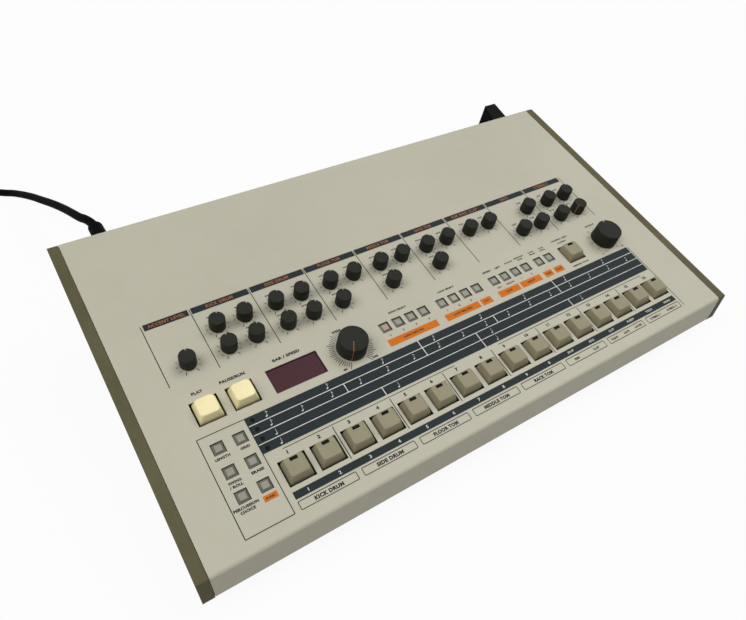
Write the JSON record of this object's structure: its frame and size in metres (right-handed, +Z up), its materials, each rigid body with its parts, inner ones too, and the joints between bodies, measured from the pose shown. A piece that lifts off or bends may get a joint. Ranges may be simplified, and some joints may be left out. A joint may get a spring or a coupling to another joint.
{
  "type": "drum machine",
  "caption": "Programmable drum machine: sloping steel panel between moulded cheeks, with turning knobs, sprung step keys and buttons, a rear cartridge and a coiled mains lead",
  "frame": {"origin": "middle of the object's footprint on the surface it stands on, measured without the mains lead", "axes": "+X to the player's right along the panel, +Y to the rear, +Z up"},
  "size_m": [0.63, 0.594, 0.1044],
  "materials": {
    "panel_paint": "satin cream enamel on folded steel",
    "chassis_paint": "dark grey powder coat",
    "cheek_plastic": "moulded olive-brown plastic, lightly satin",
    "foot_rubber": "black rubber",
    "screw_steel": "dull plated steel",
    "display_filter": "dark red filter, glossy",
    "circuit_board": "lacquered laminate",
    "switch_plastic": "black moulded plastic",
    "pot_metal": "pressed cases",
    "core_iron": "varnished laminations",
    "socket_plastic": "black moulded plastic",
    "cord_rubber": "grey-black cable jacket",
    "knob_plastic": "charcoal moulded plastic",
    "cream_key": "warm cream moulded plastic",
    "olive_key": "olive-beige moulded plastic",
    "grey_button": "pale grey moulded plastic",
    "cartridge_plastic": "ribbed charcoal plastic"
  },
  "bodies": {
    "case": {"top_panel": "panel_paint", "chassis": "chassis_paint", "left_cheek": "cheek_plastic", "right_cheek": "cheek_plastic", "rubber_feet": "foot_rubber", "case_screws": "screw_steel", "display_window": "display_filter", "circuit_boards": "circuit_board", "key_switches": "switch_plastic", "pot_bodies": "pot_metal", "transformer": "core_iron", "rear_sockets": "socket_plastic", "strain_relief": "cord_rubber", "mains_cord": "cord_rubber", "cord_coil": "cord_rubber", "mains_plug": "cord_rubber"},
    "knob_total_accent": {"knob_total_accent": "knob_plastic"},
    "knob_bass_tune": {"knob_bass_tune": "knob_plastic"},
    "knob_bass_level": {"knob_bass_level": "knob_plastic"},
    "knob_bass_attack": {"knob_bass_attack": "knob_plastic"},
    "knob_bass_decay": {"knob_bass_decay": "knob_plastic"},
    "knob_snare_tune": {"knob_snare_tune": "knob_plastic"},
    "knob_snare_level": {"knob_snare_level": "knob_plastic"},
    "knob_snare_tone": {"knob_snare_tone": "knob_plastic"},
    "knob_snare_snappy": {"knob_snare_snappy": "knob_plastic"},
    "knob_low_tom_tune": {"knob_low_tom_tune": "knob_plastic"},
    "knob_low_tom_level": {"knob_low_tom_level": "knob_plastic"},
    "knob_low_tom_decay": {"knob_low_tom_decay": "knob_plastic"},
    "knob_mid_tom_tune": {"knob_mid_tom_tune": "knob_plastic"},
    "knob_mid_tom_level": {"knob_mid_tom_level": "knob_plastic"},
    "knob_mid_tom_decay": {"knob_mid_tom_decay": "knob_plastic"},
    "knob_high_tom_tune": {"knob_high_tom_tune": "knob_plastic"},
    "knob_high_tom_level": {"knob_high_tom_level": "knob_plastic"},
    "knob_high_tom_decay": {"knob_high_tom_decay": "knob_plastic"},
    "knob_rim_level": {"knob_rim_level": "knob_plastic"},
    "knob_clap_level": {"knob_clap_level": "knob_plastic"},
    "knob_hat_level": {"knob_hat_level": "knob_plastic"},
    "knob_closed_hat_decay": {"knob_closed_hat_decay": "knob_plastic"},
    "knob_open_hat_decay": {"knob_open_hat_decay": "knob_plastic"},
    "knob_crash_level": {"knob_crash_level": "knob_plastic"},
    "knob_ride_level": {"knob_ride_level": "knob_plastic"},
    "knob_crash_tune": {"knob_crash_tune": "knob_plastic"},
    "knob_ride_tune": {"knob_ride_tune": "knob_plastic"},
    "knob_tempo": {"knob_tempo": "knob_plastic"},
    "knob_volume": {"knob_volume": "knob_plastic"},
    "start_key": {"start_key": "cream_key"},
    "stop_key": {"stop_key": "cream_key"},
    "enter_key": {"enter_key": "olive_key"},
    "step_keys_1_2": {"step_keys_1_2": "olive_key"},
    "step_keys_3_4": {"step_keys_3_4": "olive_key"},
    "step_keys_5_6": {"step_keys_5_6": "olive_key"},
    "step_keys_7_8": {"step_keys_7_8": "olive_key"},
    "step_keys_9_10": {"step_keys_9_10": "olive_key"},
    "step_keys_11_12": {"step_keys_11_12": "olive_key"},
    "step_keys_13_14": {"step_keys_13_14": "olive_key"},
    "step_keys_15_16": {"step_keys_15_16": "olive_key"},
    "mode_buttons": {"mode_buttons": "grey_button"},
    "pattern_buttons": {"pattern_buttons": "grey_button"},
    "power_rocker": {"power_rocker": "socket_plastic"},
    "memory_cartridge": {"memory_cartridge": "cartridge_plastic"}
  },
  "joints": [
    {"name": "total_accent_turn", "type": "hinge", "parent": "case", "child": "knob_total_accent", "pos_m": [-0.1914, -0.01698, 0.07391], "axis": [0, 0.225, -0.9744], "range_deg": [-160, 140]},
    {"name": "bass_tune_turn", "type": "hinge", "parent": "case", "child": "knob_bass_tune", "pos_m": [-0.1613, 0.00231, 0.07836], "axis": [0, 0.225, -0.9744], "range_deg": [-170, 130]},
    {"name": "bass_level_turn", "type": "hinge", "parent": "case", "child": "knob_bass_level", "pos_m": [-0.1402, 0.00231, 0.07836], "axis": [0, 0.225, -0.9744], "range_deg": [-190, 110]},
    {"name": "bass_attack_turn", "type": "hinge", "parent": "case", "child": "knob_bass_attack", "pos_m": [-0.1613, -0.01698, 0.07391], "axis": [0, 0.225, -0.9744], "range_deg": [-150, 150]},
    {"name": "bass_decay_turn", "type": "hinge", "parent": "case", "child": "knob_bass_decay", "pos_m": [-0.1402, -0.01698, 0.07391], "axis": [0, 0.225, -0.9744], "range_deg": [-175, 125]},
    {"name": "snare_tune_turn", "type": "hinge", "parent": "case", "child": "knob_snare_tune", "pos_m": [-0.11494, 0.00231, 0.07836], "axis": [0, 0.225, -0.9744], "range_deg": [-180, 120]},
    {"name": "snare_level_turn", "type": "hinge", "parent": "case", "child": "knob_snare_level", "pos_m": [-0.09384, 0.00231, 0.07836], "axis": [0, 0.225, -0.9744], "range_deg": [-195, 105]},
    {"name": "snare_tone_turn", "type": "hinge", "parent": "case", "child": "knob_snare_tone", "pos_m": [-0.11494, -0.01698, 0.07391], "axis": [0, 0.225, -0.9744], "range_deg": [-160, 140]},
    {"name": "snare_snappy_turn", "type": "hinge", "parent": "case", "child": "knob_snare_snappy", "pos_m": [-0.09384, -0.01698, 0.07391], "axis": [0, 0.225, -0.9744], "range_deg": [-185, 115]},
    {"name": "low_tom_tune_turn", "type": "hinge", "parent": "case", "child": "knob_low_tom_tune", "pos_m": [-0.06858, 0.00231, 0.07836], "axis": [0, 0.225, -0.9744], "range_deg": [-175, 125]},
    {"name": "low_tom_level_turn", "type": "hinge", "parent": "case", "child": "knob_low_tom_level", "pos_m": [-0.04748, 0.00231, 0.07836], "axis": [0, 0.225, -0.9744], "range_deg": [-200, 100]},
    {"name": "low_tom_decay_turn", "type": "hinge", "parent": "case", "child": "knob_low_tom_decay", "pos_m": [-0.06858, -0.01698, 0.07391], "axis": [0, 0.225, -0.9744], "range_deg": [-170, 130]},
    {"name": "mid_tom_tune_turn", "type": "hinge", "parent": "case", "child": "knob_mid_tom_tune", "pos_m": [-0.02222, 0.00231, 0.07836], "axis": [0, 0.225, -0.9744], "range_deg": [-180, 120]},
    {"name": "mid_tom_level_turn", "type": "hinge", "parent": "case", "child": "knob_mid_tom_level", "pos_m": [-0.00112, 0.00231, 0.07836], "axis": [0, 0.225, -0.9744], "range_deg": [-195, 105]},
    {"name": "mid_tom_decay_turn", "type": "hinge", "parent": "case", "child": "knob_mid_tom_decay", "pos_m": [-0.02222, -0.01698, 0.07391], "axis": [0, 0.225, -0.9744], "range_deg": [-165, 135]},
    {"name": "high_tom_tune_turn", "type": "hinge", "parent": "case", "child": "knob_high_tom_tune", "pos_m": [0.02414, 0.00231, 0.07836], "axis": [0, 0.225, -0.9744], "range_deg": [-190, 110]},
    {"name": "high_tom_level_turn", "type": "hinge", "parent": "case", "child": "knob_high_tom_level", "pos_m": [0.04524, 0.00231, 0.07836], "axis": [0, 0.225, -0.9744], "range_deg": [-200, 100]},
    {"name": "high_tom_decay_turn", "type": "hinge", "parent": "case", "child": "knob_high_tom_decay", "pos_m": [0.02414, -0.01698, 0.07391], "axis": [0, 0.225, -0.9744], "range_deg": [-175, 125]},
    {"name": "rim_level_turn", "type": "hinge", "parent": "case", "child": "knob_rim_level", "pos_m": [0.0705, 0.00231, 0.07836], "axis": [0, 0.225, -0.9744], "range_deg": [-185, 115]},
    {"name": "clap_level_turn", "type": "hinge", "parent": "case", "child": "knob_clap_level", "pos_m": [0.0916, 0.00231, 0.07836], "axis": [0, 0.225, -0.9744], "range_deg": [-205, 95]},
    {"name": "hat_level_turn", "type": "hinge", "parent": "case", "child": "knob_hat_level", "pos_m": [0.13796, 0.00231, 0.07836], "axis": [0, 0.225, -0.9744], "range_deg": [-190, 110]},
    {"name": "closed_hat_decay_turn", "type": "hinge", "parent": "case", "child": "knob_closed_hat_decay", "pos_m": [0.11686, -0.01698, 0.07391], "axis": [0, 0.225, -0.9744], "range_deg": [-170, 130]},
    {"name": "open_hat_decay_turn", "type": "hinge", "parent": "case", "child": "knob_open_hat_decay", "pos_m": [0.13796, -0.01698, 0.07391], "axis": [0, 0.225, -0.9744], "range_deg": [-210, 90]},
    {"name": "crash_level_turn", "type": "hinge", "parent": "case", "child": "knob_crash_level", "pos_m": [0.16322, 0.00231, 0.07836], "axis": [0, 0.225, -0.9744], "range_deg": [-195, 105]},
    {"name": "ride_level_turn", "type": "hinge", "parent": "case", "child": "knob_ride_level", "pos_m": [0.18432, 0.00231, 0.07836], "axis": [0, 0.225, -0.9744], "range_deg": [-180, 120]},
    {"name": "crash_tune_turn", "type": "hinge", "parent": "case", "child": "knob_crash_tune", "pos_m": [0.16322, -0.01698, 0.07391], "axis": [0, 0.225, -0.9744], "range_deg": [-200, 100]},
    {"name": "ride_tune_turn", "type": "hinge", "parent": "case", "child": "knob_ride_tune", "pos_m": [0.18432, -0.01698, 0.07391], "axis": [0, 0.225, -0.9744], "range_deg": [-35, 265]},
    {"name": "tempo_turn", "type": "hinge", "parent": "case", "child": "knob_tempo", "pos_m": [-0.08348, -0.0543, 0.06529], "axis": [0, 0.225, -0.9744], "range_deg": [0, 300]},
    {"name": "volume_turn", "type": "hinge", "parent": "case", "child": "knob_volume", "pos_m": [0.1834, -0.0543, 0.06529], "axis": [0, 0.225, -0.9744], "range_deg": [-158, 142]},
    {"name": "start_key_press", "type": "slide", "parent": "case", "child": "start_key", "axis": [0, 0.225, -0.9744], "range_m": [0, 0.003], "stiffness_N_per_m": 150, "springref_m": -0.002},
    {"name": "stop_key_press", "type": "slide", "parent": "case", "child": "stop_key", "axis": [0, 0.225, -0.9744], "range_m": [0, 0.003], "stiffness_N_per_m": 150, "springref_m": -0.002},
    {"name": "enter_key_press", "type": "slide", "parent": "case", "child": "enter_key", "axis": [0, 0.225, -0.9744], "range_m": [0, 0.003], "stiffness_N_per_m": 150, "springref_m": -0.002},
    {"name": "step_keys_1_2_press", "type": "slide", "parent": "case", "child": "step_keys_1_2", "axis": [0, 0.225, -0.9744], "range_m": [0, 0.003], "stiffness_N_per_m": 300, "springref_m": -0.002},
    {"name": "step_keys_3_4_press", "type": "slide", "parent": "case", "child": "step_keys_3_4", "axis": [0, 0.225, -0.9744], "range_m": [0, 0.003], "stiffness_N_per_m": 300, "springref_m": -0.002},
    {"name": "step_keys_5_6_press", "type": "slide", "parent": "case", "child": "step_keys_5_6", "axis": [0, 0.225, -0.9744], "range_m": [0, 0.003], "stiffness_N_per_m": 300, "springref_m": -0.002},
    {"name": "step_keys_7_8_press", "type": "slide", "parent": "case", "child": "step_keys_7_8", "axis": [0, 0.225, -0.9744], "range_m": [0, 0.003], "stiffness_N_per_m": 300, "springref_m": -0.002},
    {"name": "step_keys_9_10_press", "type": "slide", "parent": "case", "child": "step_keys_9_10", "axis": [0, 0.225, -0.9744], "range_m": [0, 0.003], "stiffness_N_per_m": 300, "springref_m": -0.002},
    {"name": "step_keys_11_12_press", "type": "slide", "parent": "case", "child": "step_keys_11_12", "axis": [0, 0.225, -0.9744], "range_m": [0, 0.003], "stiffness_N_per_m": 300, "springref_m": -0.002},
    {"name": "step_keys_13_14_press", "type": "slide", "parent": "case", "child": "step_keys_13_14", "axis": [0, 0.225, -0.9744], "range_m": [0, 0.003], "stiffness_N_per_m": 300, "springref_m": -0.002},
    {"name": "step_keys_15_16_press", "type": "slide", "parent": "case", "child": "step_keys_15_16", "axis": [0, 0.225, -0.9744], "range_m": [0, 0.003], "stiffness_N_per_m": 300, "springref_m": -0.002},
    {"name": "mode_buttons_press", "type": "slide", "parent": "case", "child": "mode_buttons", "axis": [0, 0.225, -0.9744], "range_m": [0, 0.0008], "stiffness_N_per_m": 3000, "springref_m": -0.0005},
    {"name": "pattern_buttons_press", "type": "slide", "parent": "case", "child": "pattern_buttons", "axis": [0, 0.225, -0.9744], "range_m": [0, 0.0008], "stiffness_N_per_m": 7000, "springref_m": -0.0005},
    {"name": "power_rocker_tilt", "type": "hinge", "parent": "case", "child": "power_rocker", "pos_m": [-0.162, 0.11438, 0.048], "axis": [-1, 0, 0], "range_deg": [0, 16]},
    {"name": "memory_cartridge_slide", "type": "slide", "parent": "case", "child": "memory_cartridge", "axis": [0, 1, 0], "range_m": [0, 0.028]}
  ]
}
